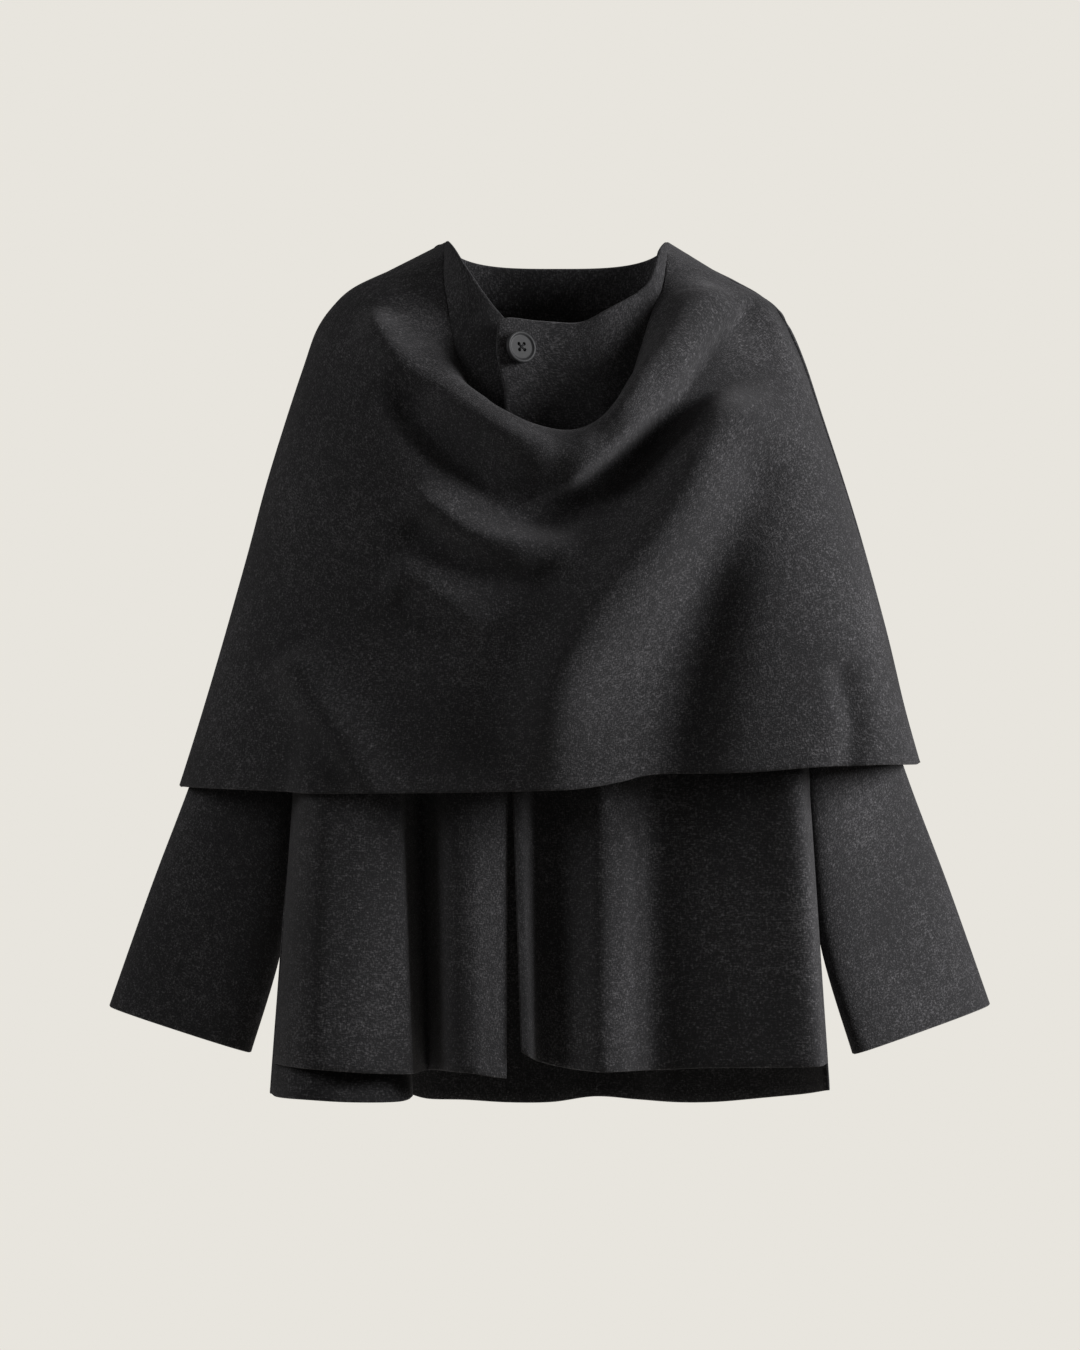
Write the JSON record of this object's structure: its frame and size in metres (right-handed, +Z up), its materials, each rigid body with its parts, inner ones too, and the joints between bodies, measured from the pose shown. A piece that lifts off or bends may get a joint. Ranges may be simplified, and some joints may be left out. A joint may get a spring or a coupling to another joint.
{
  "type": "cape-collared jacket",
  "caption": "Short wool jacket under an elbow-length cape with a deep draped cowl, long straight sleeves and a neck button, filled out as if on shoulders.",
  "frame": {"origin": "between the shoulders at the height of the back neck seam, where the wearer's shoulders hold the garment", "axes": "+X is the wearer's left, +Y is the back and -Y the front, +Z is up"},
  "size_m": [0.744, 0.2971, 0.7211],
  "materials": {
    "wool": "brushed charcoal wool, heathered with pale fibres, matt with a soft nap",
    "button_plastic": "semi-gloss black button with a raised rim"
  },
  "bodies": {
    "root": {"jacket_back": "wool", "jacket_front_right": "wool", "jacket_front_left": "wool", "neck_band": "wool", "sleeve_right": "wool", "sleeve_left": "wool", "cape_front": "wool", "cape_back": "wool", "button": "button_plastic"}
  },
  "joints": []
}
